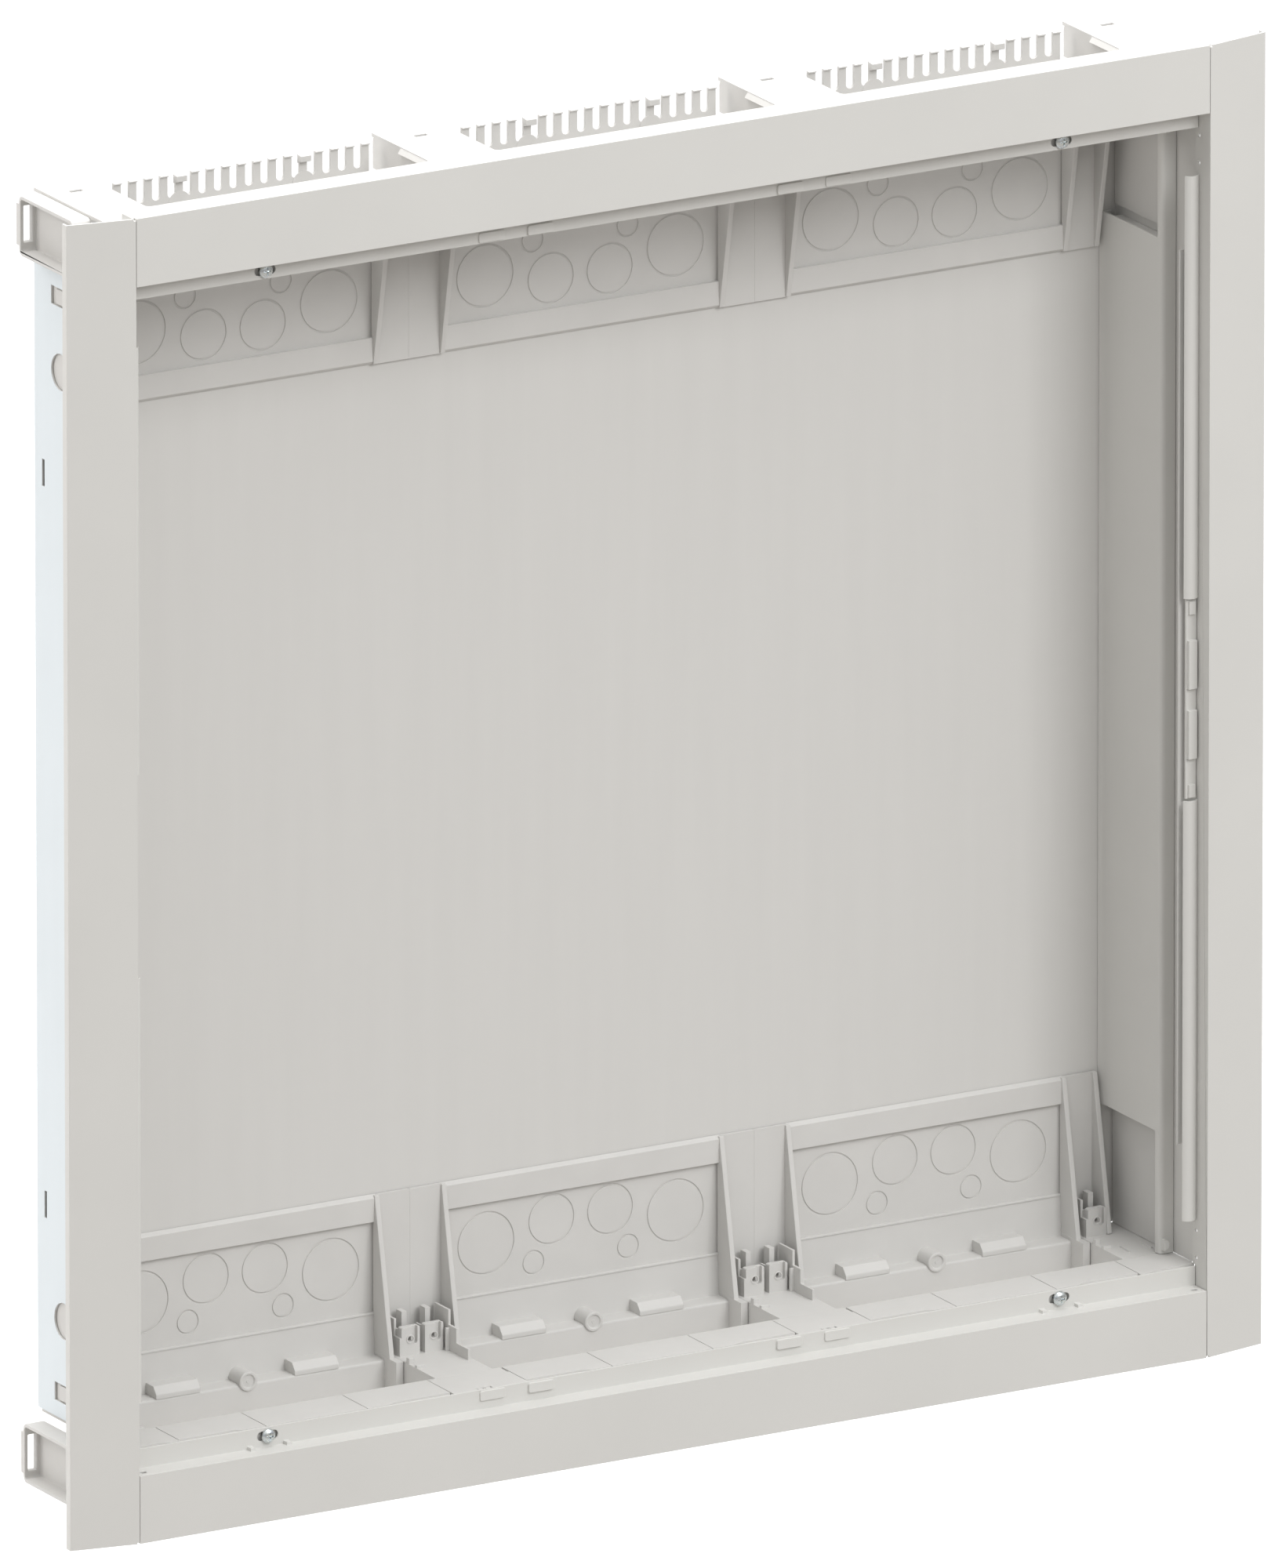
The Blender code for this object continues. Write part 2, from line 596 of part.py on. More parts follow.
def make_screws():
    """Pan-head frame screws with a cross recess, and the nut blocks that they turn in."""
    head_rear = FLANGE_DEPTH - GAP
    head_front = head_rear - HEAD_HEIGHT
    tip = head_rear + SCREW_LENGTH
    profile = [(0.0, head_front), (2.6, head_front + 0.15), (3.9, head_front + 0.8),
               (HEAD_RADIUS, head_front + 1.9), (HEAD_RADIUS, head_rear), (SCREW_RADIUS, head_rear),
               (SCREW_RADIUS, tip), (0.0, tip)]
    sides = 16
    mesh = bpy.data.meshes.new("screw")
    shape = bmesh.new()
    poles = [shape.verts.new(world(SCREW_X, profile[index][1], SCREW_INSET)) for index in (0, -1)]
    rings = []
    for radius, depth in profile[1:-1]:
        points = circle((SCREW_X, SCREW_INSET), radius, sides)
        rings.append([shape.verts.new(world(x, depth, inset)) for x, inset in points])
    for index in range(sides):
        following = (index + 1) % sides
        shape.faces.new((poles[0], rings[0][index], rings[0][following]))
        shape.faces.new((poles[1], rings[-1][following], rings[-1][index]))
        for upper, lower in zip(rings, rings[1:]):
            shape.faces.new((upper[index], lower[index], lower[following], upper[following]))
    bmesh.ops.recalc_face_normals(shape, faces=shape.faces)
    shape.to_mesh(mesh)
    shape.free()
    screw = bpy.data.objects.new("screw", mesh)
    bpy.context.scene.collection.objects.link(screw)
    bite = (head_front - 1.0, head_front + 1.5)
    arms = box((SCREW_X - 2.4, SCREW_X + 2.4), bite, (SCREW_INSET - 0.5, SCREW_INSET + 0.5))
    post = box((SCREW_X - 0.5, SCREW_X + 0.5), bite, (SCREW_INSET - 2.4, SCREW_INSET + 2.4))
    carve(screw, fuse(arms, post))
    smooth(screw)
    finish(screw, "frame_screw_top_right", ZINC)
    nut_inset = (45.0, COVER_INSET - WALL - GAP)
    block = box((SCREW_X - 9.0, SCREW_X + 9.0), (COVER_FRONT + 2.0 + GAP, 31.0), nut_inset)
    passage = circle((SCREW_X, SCREW_INSET), SCREW_RADIUS + 0.35, 16)
    carve(block, prism(along_depth, passage, COVER_FRONT, 35.0))
    finish(block, "screw_nut_top_right", ZINC)
    for piece in ("frame_screw", "screw_nut"):
        first = bpy.data.objects[f"{piece}_top_right"]
        reflected(first, f"{piece}_top_left", flip_x=True)
        reflected(first, f"{piece}_bottom_right", flip_z=True)
        reflected(first, f"{piece}_bottom_left", flip_x=True, flip_z=True)
    x, y, z = world(SCREW_X, head_rear, SCREW_INSET)
    for side, sign_x in (("left", -1.0), ("right", 1.0)):
        set_origin(bpy.data.objects[f"frame_screw_top_{side}"], (sign_x * x, y, z))
        set_origin(bpy.data.objects[f"frame_screw_bottom_{side}"], (sign_x * x, y, -z))


def main():
    for existing in list(bpy.data.objects):
        bpy.data.objects.remove(existing)
    make_back_panel()
    make_side_walls()
    make_side_profiles()
    make_end_plates()
    make_modules()
    make_combs()
    make_front_covers()
    make_junctions()
    make_corners()
    make_pockets()
    make_wall_liners()
    make_rails()
    make_stiles()
    make_latch_strips()
    make_screws()


main()
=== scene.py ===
"""Looks of a flush-mounted three-field distribution board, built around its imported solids.

Lengths are in millimetres in board coordinates: x to the right, depth behind the frame's front
plane, inset from the upper end. A Place turns them into metres and mirrors them where asked.
"""

import json
import math

import bmesh
import bpy
from mathutils import Matrix, Vector

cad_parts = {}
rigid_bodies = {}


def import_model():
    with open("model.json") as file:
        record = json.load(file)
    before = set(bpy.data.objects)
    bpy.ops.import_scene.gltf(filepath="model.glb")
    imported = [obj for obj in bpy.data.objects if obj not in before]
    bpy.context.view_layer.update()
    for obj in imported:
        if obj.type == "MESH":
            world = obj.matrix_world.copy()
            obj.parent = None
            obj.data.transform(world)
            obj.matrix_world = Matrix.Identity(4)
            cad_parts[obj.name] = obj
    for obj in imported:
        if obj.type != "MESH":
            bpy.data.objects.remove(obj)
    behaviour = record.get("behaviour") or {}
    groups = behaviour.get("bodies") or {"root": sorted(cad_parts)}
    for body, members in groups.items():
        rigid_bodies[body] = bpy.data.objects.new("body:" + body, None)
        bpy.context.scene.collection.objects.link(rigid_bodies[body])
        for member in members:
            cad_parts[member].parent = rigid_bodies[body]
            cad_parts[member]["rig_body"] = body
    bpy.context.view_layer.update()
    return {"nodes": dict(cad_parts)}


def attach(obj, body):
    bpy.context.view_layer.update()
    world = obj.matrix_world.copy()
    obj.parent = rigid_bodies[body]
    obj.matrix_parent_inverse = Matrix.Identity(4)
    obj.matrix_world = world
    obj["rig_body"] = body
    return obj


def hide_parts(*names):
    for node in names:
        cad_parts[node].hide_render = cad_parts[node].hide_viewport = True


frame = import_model()

MM = 0.001
HALF = 432.0
DEPTH = 123.0
PITCH = 250.0
SHARP_ANGLE = math.radians(35.0)
FLAT_ANGLE = math.radians(0.6)
MERGE = 0.000002
OUTER_FACE_X = 0.3907
FLOOR_GAP = 0.35

# Half widths of the plastic pieces of one field.
RECESS_HALF = 101.0
MODULE_HALF = 124.8
COVER_HALF = 97.3
COMB_HALF = 91.6

# Depths and insets of the plastic pieces.
MODULE_END = 160.0
PLATE_FOOT = 12.8
COVER_FRONT = 16.1
COVER_REAR = 50.0
COVER_OUTER = 54.5
COVER_INSET = 57.0
SKIRT_REAR = 104.0
BRIDGE_REAR = 117.8
COMB_DEPTH = 109.5
FOOT_CLIP_INSET = 64.0

# A comb's number of teeth, the width of its slots, and the teeth that carry a latch.
COMB_TEETH = 17
COMB_GAP = 5.7
LATCH_TEETH = (4, 12)

# Knock-outs of a module: distance from its middle, inset and radius.
KNOCK_OUTS = ((68.8, 114.5, 20.25), (21.3, 123.0, 16.25), (34.35, 96.3, 7.5))

# The groove around a knock-out: half its width, then its front and rear depth.
GROOVE_HALF = 0.6
GROOVE = (120.9, 122.05)

# The bezel's flange and the screws in it.
FLANGE_DEPTH = 14.3
SCREW_X = 287.0
SCREW_INSET = 51.6

ENDS = (("top", False), ("bottom", True))
FIELDS = (("left", -1), ("centre", 0), ("right", 1))
SIDES = (("left", -1), ("right", 1))

PAINT = "painted_steel"
SHEET = "coated_sheet"
PLASTIC = "grey_plastic"
ZINC = "zinc_steel"


class Place:
    """Where a detail goes: shifted along x, then mirrored in x or in z."""

    def __init__(self, shift=0.0, flip_x=False, flip_z=False):
        self.shift = shift
        self.sign_x = -1.0 if flip_x else 1.0
        self.sign_z = -1.0 if flip_z else 1.0

    def point(self, x, depth, inset):
        across = self.sign_x * (x + self.shift)
        return Vector((across * MM, (depth - DEPTH) * MM, self.sign_z * (HALF - inset) * MM))

    def on_axis(self, axis, distance, pair):
        """A point of an outline drawn across an axis, at a distance along that axis."""
        if axis == "x":
            return self.point(distance, pair[0], pair[1])
        if axis == "depth":
            return self.point(pair[0], distance, pair[1])
        return self.point(pair[0], pair[1], distance)


HOME = Place()


def arc(centre, radius, start, end, steps):
    """Points of a circular arc, with its angles in degrees."""
    points = []
    for index in range(steps + 1):
        angle = math.radians(start + (end - start) * index / steps)
        points.append((centre[0] + radius * math.cos(angle), centre[1] + radius * math.sin(angle)))
    return points


def circle(centre, radius, steps):
    return arc(centre, radius, 0.0, 360.0, steps)[:-1]


def rounded(x_range, y_range, radius, steps=4):
    left, right = x_range[0] + radius, x_range[1] - radius
    low, high = y_range[0] + radius, y_range[1] - radius
    corners = (((right, high), 0.0), ((left, high), 90.0), ((left, low), 180.0), ((right, low), 270.0))
    points = []
    for centre, start in corners:
        points += arc(centre, radius, start, start + 90.0, steps)
    return points


class Shells:
    """A piece made of closed shells, each with its own softened edges."""

    def __init__(self, place=HOME):
        self.place = place
        self.mesh = bmesh.new()

    def add(self, part, edge):
        """Soften the sharp edges of one shell and take it in."""
        bmesh.ops.recalc_face_normals(part, faces=part.faces)
        if edge:
            sharp = [line for line in part.edges if line.calc_face_angle(0.0) > SHARP_ANGLE]
            bmesh.ops.bevel(part, geom=sharp, offset=edge * MM, offset_type="OFFSET", segments=2,
                            profile=0.5, affect="EDGES", clamp_overlap=True)
        holder = bpy.data.meshes.new("shell")
        part.to_mesh(holder)
        part.free()
        self.mesh.from_mesh(holder)
        bpy.data.meshes.remove(holder)

    def prism(self, axis, outline, low, high, edge=0.3):
        part = bmesh.new()
        rings = []
        for distance in (low, high):
            rings.append([part.verts.new(self.place.on_axis(axis, distance, pair)) for pair in outline])
        part.faces.new(rings[0])
        part.faces.new(rings[1])
        count = len(outline)
        for index in range(count):
            nearby = (index + 1) % count
            part.faces.new((rings[0][index], rings[0][nearby], rings[1][nearby], rings[1][index]))
        self.add(part, edge)

    def box(self, x_range, depth_range, inset_range, edge=0.3):
        near, far = depth_range
        top, bottom = inset_range
        outline = [(near, top), (far, top), (far, bottom), (near, bottom)]
        self.prism("x", outline, x_range[0], x_range[1], edge)

    def ring(self, centre, inner, outer, low, high, steps=64, edge=0.0):
        """An annular solid whose axis runs along the depth."""
        part = bmesh.new()
        loops = []
        for radius, distance in ((inner, low), (outer, low), (outer, high), (inner, high)):
            points = circle(centre, radius, steps)
            loops.append([part.verts.new(self.place.on_axis("depth", distance, pair)) for pair in points])
        for index in range(steps):
            nearby = (index + 1) % steps
            for first, second in zip(loops, loops[1:] + loops[:1]):
                part.faces.new((first[index], first[nearby], second[nearby], second[index]))
        self.add(part, edge)

    def lathe(self, centre, profile, steps=48):
        """A turned solid about an axis along the depth, with its profile given from front to rear."""
        part = bmesh.new()
        front = part.verts.new(self.place.point(centre[0], profile[0][1], centre[1]))
        rear = part.verts.new(self.place.point(centre[0], profile[-1][1], centre[1]))
        loops = []
        for radius, depth in profile[1:-1]:
            points = circle(centre, radius, steps)
            loops.append([part.verts.new(self.place.on_axis("depth", depth, pair)) for pair in points])
        for index in range(steps):
            nearby = (index + 1) % steps
            part.faces.new((front, loops[0][index], loops[0][nearby]))
            part.faces.new((rear, loops[-1][nearby], loops[-1][index]))
            for first, second in zip(loops, loops[1:]):
                part.faces.new((first[index], second[index], second[nearby], first[nearby]))
        self.add(part, 0.0)

    def take(self, solid):
        """Take in a finished object's mesh and remove the object."""
        self.mesh.from_mesh(solid.data)
        bpy.data.objects.remove(solid)

    def build(self, name):
        mesh = bpy.data.meshes.new(name)
        self.mesh.to_mesh(mesh)
        self.mesh.free()
        piece = bpy.data.objects.new(name, mesh)
        bpy.context.scene.collection.objects.link(piece)
        return piece


def apply_modifiers(piece):
    graph = bpy.context.evaluated_depsgraph_get()
    result = bpy.data.meshes.new_from_object(piece.evaluated_get(graph))
    piece.modifiers.clear()
    piece.data = result


def combine(piece, operation, tool):
    """Apply one exact Boolean and remove the solid that it used."""
    modifier = piece.modifiers.new(operation, "BOOLEAN")
    modifier.operation = operation
    modifier.solver = "EXACT"
    modifier.object = tool
    apply_modifiers(piece)
    bpy.data.objects.remove(tool)


def clean(mesh):
    """Join doubled points and turn the triangles of flat faces back into whole faces."""
    shape = bmesh.new()
    shape.from_mesh(mesh)
    bmesh.ops.remove_doubles(shape, verts=shape.verts, dist=MERGE)
    bmesh.ops.dissolve_limit(shape, angle_limit=FLAT_ANGLE, verts=shape.verts, edges=shape.edges)
    shape.to_mesh(mesh)
    shape.free()


def soften(piece, width):
    """Round every sharp edge of a piece by a small width."""
    modifier = piece.modifiers.new("edges", "BEVEL")
    modifier.width = width * MM
    modifier.segments = 2
    modifier.limit_method = "ANGLE"
    modifier.angle_limit = SHARP_ANGLE
    modifier.use_clamp_overlap = False
    apply_modifiers(piece)


def dress(piece, node, slot):
    """Give a piece its material, tie it to its CAD node's body and hide that node."""
    piece.data.materials.clear()
    piece.data.materials.append(MATERIALS[slot])
    piece.data.shade_smooth()
    piece.data.set_sharp_from_angle(angle=SHARP_ANGLE)
    flatten = piece.modifiers.new("normals", "WEIGHTED_NORMAL")
    flatten.keep_sharp = True
    flatten.weight = 90
    apply_modifiers(piece)
    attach(piece, frame["nodes"][node]["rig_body"])
    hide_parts(node)


def refine(node, slot, added=None, cut=None, width=0.3):
    """Copy a CAD node's shape, add and cut its fine detail, and soften its edges."""
    mesh = frame["nodes"][node].data.copy()
    if "custom_normal" in mesh.attributes:
        mesh.attributes.remove(mesh.attributes["custom_normal"])
    piece = bpy.data.objects.new(f"{node}_look", mesh)
    bpy.context.scene.collection.objects.link(piece)
    clean(mesh)
    if added is not None:
        combine(piece, "UNION", added.build("added"))
    if cut is not None:
        combine(piece, "DIFFERENCE", cut.build("cut"))
    clean(piece.data)
    if width:
        soften(piece, width)
    dress(piece, node, slot)
    return piece


def extra(shells, name):
    """Build plastic detail that replaces no CAD node and stays with the box."""
    piece = shells.build(name)
    piece.data.materials.append(MATERIALS[PLASTIC])
    piece.data.shade_smooth()
    piece.data.set_sharp_from_angle(angle=SHARP_ANGLE)
    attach(piece, "box")


def new_material(name):
    made = bpy.data.materials.new(name)
    made.use_nodes = True
    tree = made.node_tree
    shader = tree.nodes["Principled BSDF"]
    return made, tree, shader


def noise(tree, scale, detail, stretch=(1.0, 1.0, 1.0)):
    """Noise in the board's own coordinates, stretched along its axes."""
    place = tree.nodes.new("ShaderNodeTexCoord")
    mapping = tree.nodes.new("ShaderNodeMapping")
    mapping.inputs["Scale"].default_value = stretch
    texture = tree.nodes.new("ShaderNodeTexNoise")
    texture.inputs["Scale"].default_value = scale
    texture.inputs["Detail"].default_value = detail
    tree.links.new(place.outputs["Object"], mapping.inputs["Vector"])
    tree.links.new(mapping.outputs["Vector"], texture.inputs["Vector"])
    return texture.outputs["Fac"]


def spread(tree, source, low, high):
    """Map the middle of a noise to a range of values."""
    node = tree.nodes.new("ShaderNodeMapRange")
    node.inputs["From Min"].default_value = 0.3
    node.inputs["From Max"].default_value = 0.7
    node.inputs["To Min"].default_value = low
    node.inputs["To Max"].default_value = high
    tree.links.new(source, node.inputs["Value"])
    return node.outputs["Result"]


def tint(tree, factor, dark, light):
    node = tree.nodes.new("ShaderNodeMix")
    node.data_type = "RGBA"
    node.inputs["A"].default_value = (*dark, 1.0)
    node.inputs["B"].default_value = (*light, 1.0)
    tree.links.new(factor, node.inputs["Factor"])
    return node.outputs["Result"]


def bump(tree, shader, height, distance, strength):
    node = tree.nodes.new("ShaderNodeBump")
    node.inputs["Distance"].default_value = distance
    node.inputs["Strength"].default_value = strength
    tree.links.new(height, node.inputs["Height"])
    tree.links.new(node.outputs["Normal"], shader.inputs["Normal"])


def shaded(colour, factor):
    return tuple(channel * factor for channel in colour)


def powder_coat(name, colour):
    """Satin powder coat: a fine orange-peel surface and very slight clouding."""
    made, tree, shader = new_material(name)
    cloud = spread(tree, noise(tree, 9.0, 3.0), 0.0, 1.0)
    clouded = tint(tree, cloud, shaded(colour, 0.985), shaded(colour, 1.015))
    tree.links.new(clouded, shader.inputs["Base Color"])
    tree.links.new(spread(tree, noise(tree, 60.0, 2.0), 0.44, 0.52), shader.inputs["Roughness"])
    bump(tree, shader, noise(tree, 1100.0, 2.0), 0.0001, 0.22)
    shader.inputs["Specular IOR Level"].default_value = 0.4
    return made


def coil_coat(name, colour):
    """Smooth coated sheet with faint rolling marks along its height."""
    made, tree, shader = new_material(name)
    marks = spread(tree, noise(tree, 14.0, 5.0, (5.0, 5.0, 0.35)), 0.0, 1.0)
    marked = tint(tree, marks, shaded(colour, 0.99), shaded(colour, 1.01))
    tree.links.new(marked, shader.inputs["Base Color"])
    tree.links.new(spread(tree, noise(tree, 30.0, 3.0), 0.4, 0.5), shader.inputs["Roughness"])
    bump(tree, shader, noise(tree, 700.0, 2.0, (1.0, 1.0, 0.2)), 0.0001, 0.12)
    shader.inputs["Specular IOR Level"].default_value = 0.4
    return made


def moulded(name, colour):
    """Spark-eroded moulded plastic: fine grain, slight mottling and a soft sheen."""
    made, tree, shader = new_material(name)
    mottle = spread(tree, noise(tree, 26.0, 4.0), 0.0, 1.0)
    mottled = tint(tree, mottle, shaded(colour, 0.98), shaded(colour, 1.02))
    tree.links.new(mottled, shader.inputs["Base Color"])
    tree.links.new(spread(tree, noise(tree, 120.0, 3.0), 0.5, 0.6), shader.inputs["Roughness"])
    bump(tree, shader, noise(tree, 2400.0, 3.0), 0.00006, 0.35)
    shader.inputs["Specular IOR Level"].default_value = 0.35
    return made


def zinc_plate(name, colour):
    """Bright zinc plate with a faint bluish and yellowish passivation bloom."""
    made, tree, shader = new_material(name)
    bloom = spread(tree, noise(tree, 420.0, 3.0), 0.0, 1.0)
    tree.links.new(tint(tree, bloom, colour, (colour[0], colour[1] * 0.97, colour[2] * 0.86)),
                   shader.inputs["Base Color"])
    tree.links.new(spread(tree, noise(tree, 900.0, 3.0), 0.2, 0.36), shader.inputs["Roughness"])
    bump(tree, shader, noise(tree, 3000.0, 2.0), 0.00004, 0.3)
    shader.inputs["Metallic"].default_value = 1.0
    return made


MATERIALS = {
    PAINT: powder_coat("powder_coat", (0.655, 0.65, 0.625)),
    SHEET: coil_coat("coil_coat", (0.645, 0.638, 0.617)),
    PLASTIC: moulded("moulded_plastic", (0.625, 0.617, 0.597)),
    ZINC: zinc_plate("zinc_plate", (0.70, 0.75, 0.80)),
}
OUTER_SHEET = coil_coat("coil_coat_outer", (0.70, 0.755, 0.785))


def knock_out_panel(place):
    """The module's profile with the grooves of its knock-out rings cut into it."""
    band = [(120.6, MODULE_END), (118.0, 157.8), (118.0, 142.2), (121.3, 142.2), (121.3, 82.0)]
    ledge = [(119.6, 82.0), (117.8, 55.0), (107.5, 55.0), (105.6, 54.4), (105.0, 52.8)]
    duct_wall = [(105.0, 33.0), (107.2, 33.0), (107.2, 52.5)]
    rear = [(122.9, 52.5), (122.9, 144.2), (121.2, 144.2), (121.2, 159.8)]
    body = Shells(place)
    body.prism("x", band + ledge + duct_wall + rear, -RECESS_HALF, RECESS_HALF, 0.0)
    panel = body.build("panel")
    rings = Shells(place)
    for side in (-1.0, 1.0):
        for centre_x, inset, radius in KNOCK_OUTS:
            rings.ring((side * centre_x, inset), radius - GROOVE_HALF, radius + GROOVE_HALF, *GROOVE)
    combine(panel, "DIFFERENCE", rings.build("rings"))
    soften(panel, 0.25)
    return panel


def module(name, place, outer):
    """An end module: panel with knock-outs, columns, ribs, ledge blocks and boss."""
    shells = Shells(place)
    shells.take(knock_out_panel(place))
    rib = [(117.6, 159.6), (98.9, 57.6), (98.9, 56.0), (120.4, 56.0), (120.4, 159.6)]
    block = [(104.9, 54.4), (104.9, 57.6), (109.0, 62.4), (120.6, 62.4), (120.6, 54.4)]
    for side in (-1.0, 1.0):
        column = [(118.8, 159.8), (118.8, 57.2), (122.8, 57.2), (122.8, 144.0), (121.0, 144.0),
                  (121.0, 159.8)]
        shells.prism("x", column, side * 100.5, side * MODULE_HALF, 0.15)
        shells.prism("x", rib, side * 99.0, side * 102.6, 0.7)
        shells.box((side * 98.8, side * 104.0), (90.0, 119.3), (33.4, 57.1), 0.25)
        shells.prism("x", block, side * 34.0, side * 66.0, 0.6)
    bead = [(118.9, 80.9), (118.9, 82.5), (121.6, 82.5), (121.6, 80.9)]
    shells.prism("x", bead, -100.6, 100.6, 0.45)
    if outer:
        outer_rib = [(117.6, 159.6), (98.9, 58.8), (98.9, 57.3), (120.4, 57.3), (120.4, 159.6)]
        shells.prism("x", outer_rib, 121.8, 125.3, 0.7)
    cup = [(0.0, 104.4), (1.1, 104.4), (1.3, 104.7), (3.9, 104.7), (4.3, 104.2), (4.7, 103.55)]
    barrel = [(5.9, 103.55), (6.4, 104.1), (6.4, 121.0), (0.0, 121.0)]
    shells.lathe((0.0, 56.6), cup + barrel)
    piece = shells.build(f"{name}_look")
    dress(piece, name, PLASTIC)


def clip(shells, centre):
    """A rail clip: a body with an open slot and a hole, and the finger behind it."""
    low, high = centre - 6.7, centre + 6.7
    slot = rounded((centre + 1.0, centre + 4.8), (64.0, 80.0), 1.8)
    body = Shells(shells.place)
    body.prism("depth", rounded((low, high), (54.6, 75.5), 1.2, 3), 100.0, 105.0, 0.0)
    solid = body.build("clip")
    for outline, reach in ((slot, 102.5), (circle((centre - 0.3, 67.5), 1.75, 24), 106.0)):
        hollow = Shells(shells.place)
        hollow.prism("depth", outline, 98.0, reach, 0.0)
        combine(solid, "DIFFERENCE", hollow.build("hollow"))
    soften(solid, 0.3)
    shells.take(solid)
    shells.ring((centre - 0.3, 67.5), 2.1, 2.9, 99.6, 100.4, 32, 0.1)
    shells.box((centre - 1.9, centre + 1.9), (108.5, 115.5), (55.5, 83.5), 0.35)
    shells.box((centre - 1.5, centre + 1.5), (104.0, 109.5), (55.5, 62.0), 0.2)
    shells.box((low + 0.2, low + 1.6), (104.0, 112.5), (55.2, 73.5), 0.3)


# Outlines of the two hook plates of a junction, as depth and inset.
STEPPED = [(73.0, 55.5), (116.0, 55.5), (116.0, 83.3), (98.0, 83.3), (98.0, 73.5), (88.0, 73.5),
           (88.0, 64.0), (73.0, 64.0)]
SHORT = [(100.0, 55.5), (116.0, 55.5), (116.0, 80.0), (107.5, 80.0), (107.5, 69.0), (100.0, 69.0)]


def junction(name, place):
    """Cover, bridge, latch and two rail clips between two fields."""
    body = Shells(place)
    body.box((-26.7, 26.7), (COVER_FRONT, COVER_REAR), (COVER_OUTER, COVER_INSET), 0.0)
    plate = body.build("plate")
    cuts = Shells(place)
    cuts.box((-9.5, 1.5), (15.0, 19.6), (53.0, 58.0), 0.0)
    cuts.box((-27.5, -22.5), (48.6, 49.4), (55.4, 58.0), 0.0)
    cuts.box((25.6, 27.5), (40.0, 51.0), (55.4, 58.0), 0.0)
    combine(plate, "DIFFERENCE", cuts.build("cuts"))
    soften(plate, 0.2)
    shells = Shells(place)
    shells.take(plate)
    shells.box((-26.7, 26.7), (19.7, 21.5), (PLATE_FOOT, 56.0), 0.2)
    shells.box((-26.7, 26.7), (48.0, COVER_REAR), (PLATE_FOOT, 54.6), 0.2)
    for start in (-9.0, -3.4):
        shells.box((start, start + 4.6), (17.3, 19.9), (54.2, 56.3), 0.3)
        shells.box((start + 0.8, start + 1.8), (16.9, 19.9), (54.2, 56.7), 0.2)
    shells.box((-20.6, 20.6), (50.3, BRIDGE_REAR), (COVER_OUTER, 56.9), 0.25)
    for start in (-20.6, 18.6):
        shells.box((start, start + 2.0), (49.0, SKIRT_REAR), (PLATE_FOOT, 55.0), 0.25)
    clip(shells, -10.0)
    clip(shells, 7.0)
    shells.prism("x", STEPPED, 16.0, 17.8, 0.3)
    shells.prism("x", SHORT, -18.0, -16.2, 0.3)
    shells.box((13.4, 16.6), (96.0, 98.0), (55.5, 72.0), 0.3)
    shells.box((-20.4, -16.5), (84.0, 88.0), (55.5, 60.5), 0.6)
    shells.box((-20.4, -14.6), (74.0, 77.0), (55.5, 58.6), 0.5)
    piece = shells.build(f"{name}_look")
    dress(piece, name, PLASTIC)


def corner_cover(name, place):
    """Cover, shelf and single rail clip beside a side wall."""
    added = Shells(place)
    added.box((-26.2, 13.6), (COVER_FRONT, 17.5), (55.0, 56.4), 0.0)
    for start, end in ((-10.0, -9.1), (6.0, 7.2)):
        added.box((start, end), (60.0, 72.0), (56.5, 58.4), 0.0)
    cut = Shells(place)
    cut.prism("inset", [(-22.0, 16.0), (-14.0, 19.8), (16.0, 19.8), (16.0, 16.0)], 55.6, 58.0, 0.0)
    cut.box((-20.6, 15.0), (50.0, 50.6), (56.2, 58.0), 0.0)
    refine(name, PLASTIC, added, cut, 0.2)
    detail = Shells(place)
    detail.ring((-10.3, 67.5), 2.1, 2.9, 99.6, 100.4, 32, 0.1)
    detail.box((-16.5, -15.1), (104.0, 112.5), (55.2, 73.5), 0.3)
    detail.box((-20.4, -16.5), (84.0, 88.0), (55.5, 60.5), 0.6)
    detail.box((-20.4, -14.6), (74.0, 77.0), (55.5, 58.6), 0.5)
    extra(detail, f"{name}_clip_detail")


def end_plate(name, place):
    """End plate with a sloped lip along the front part of each duct wall."""
    added = Shells(place)
    for middle in (-PITCH, 0.0, PITCH):
        for side in (-1.0, 1.0):
            wall = middle + side * 101.2
            lip = [(wall, 10.4), (middle + side * 98.6, 14.0), (wall, 14.0)]
            added.prism("depth", lip, 51.0, 86.0, 0.0)
    plate = refine(name, PLASTIC, added, None, 0.3)
    for vertex in plate.data.vertices:
        vertex.co.y = min(vertex.co.y, 0.0)


def front_cover(name, place):
    """Front cover with long notches in its front edge and fine joint lines."""
    added = Shells(place)
    added.box((-COVER_HALF, COVER_HALF), (COVER_FRONT, 17.5), (55.0, 56.4), 0.0)
    cut = Shells(place)
    for side in (-1.0, 1.0):
        notch = [(side * 50.0, 16.0), (side * 58.0, 19.8), (side * 99.0, 19.8), (side * 99.0, 16.0)]
        cut.prism("inset", notch, 55.6, 58.0, 0.0)
        cut.box((side * 36.2, side * 36.8), (16.0, 51.0), (56.2, 58.0), 0.0)
    refine(name, PLASTIC, added, cut, 0.15)


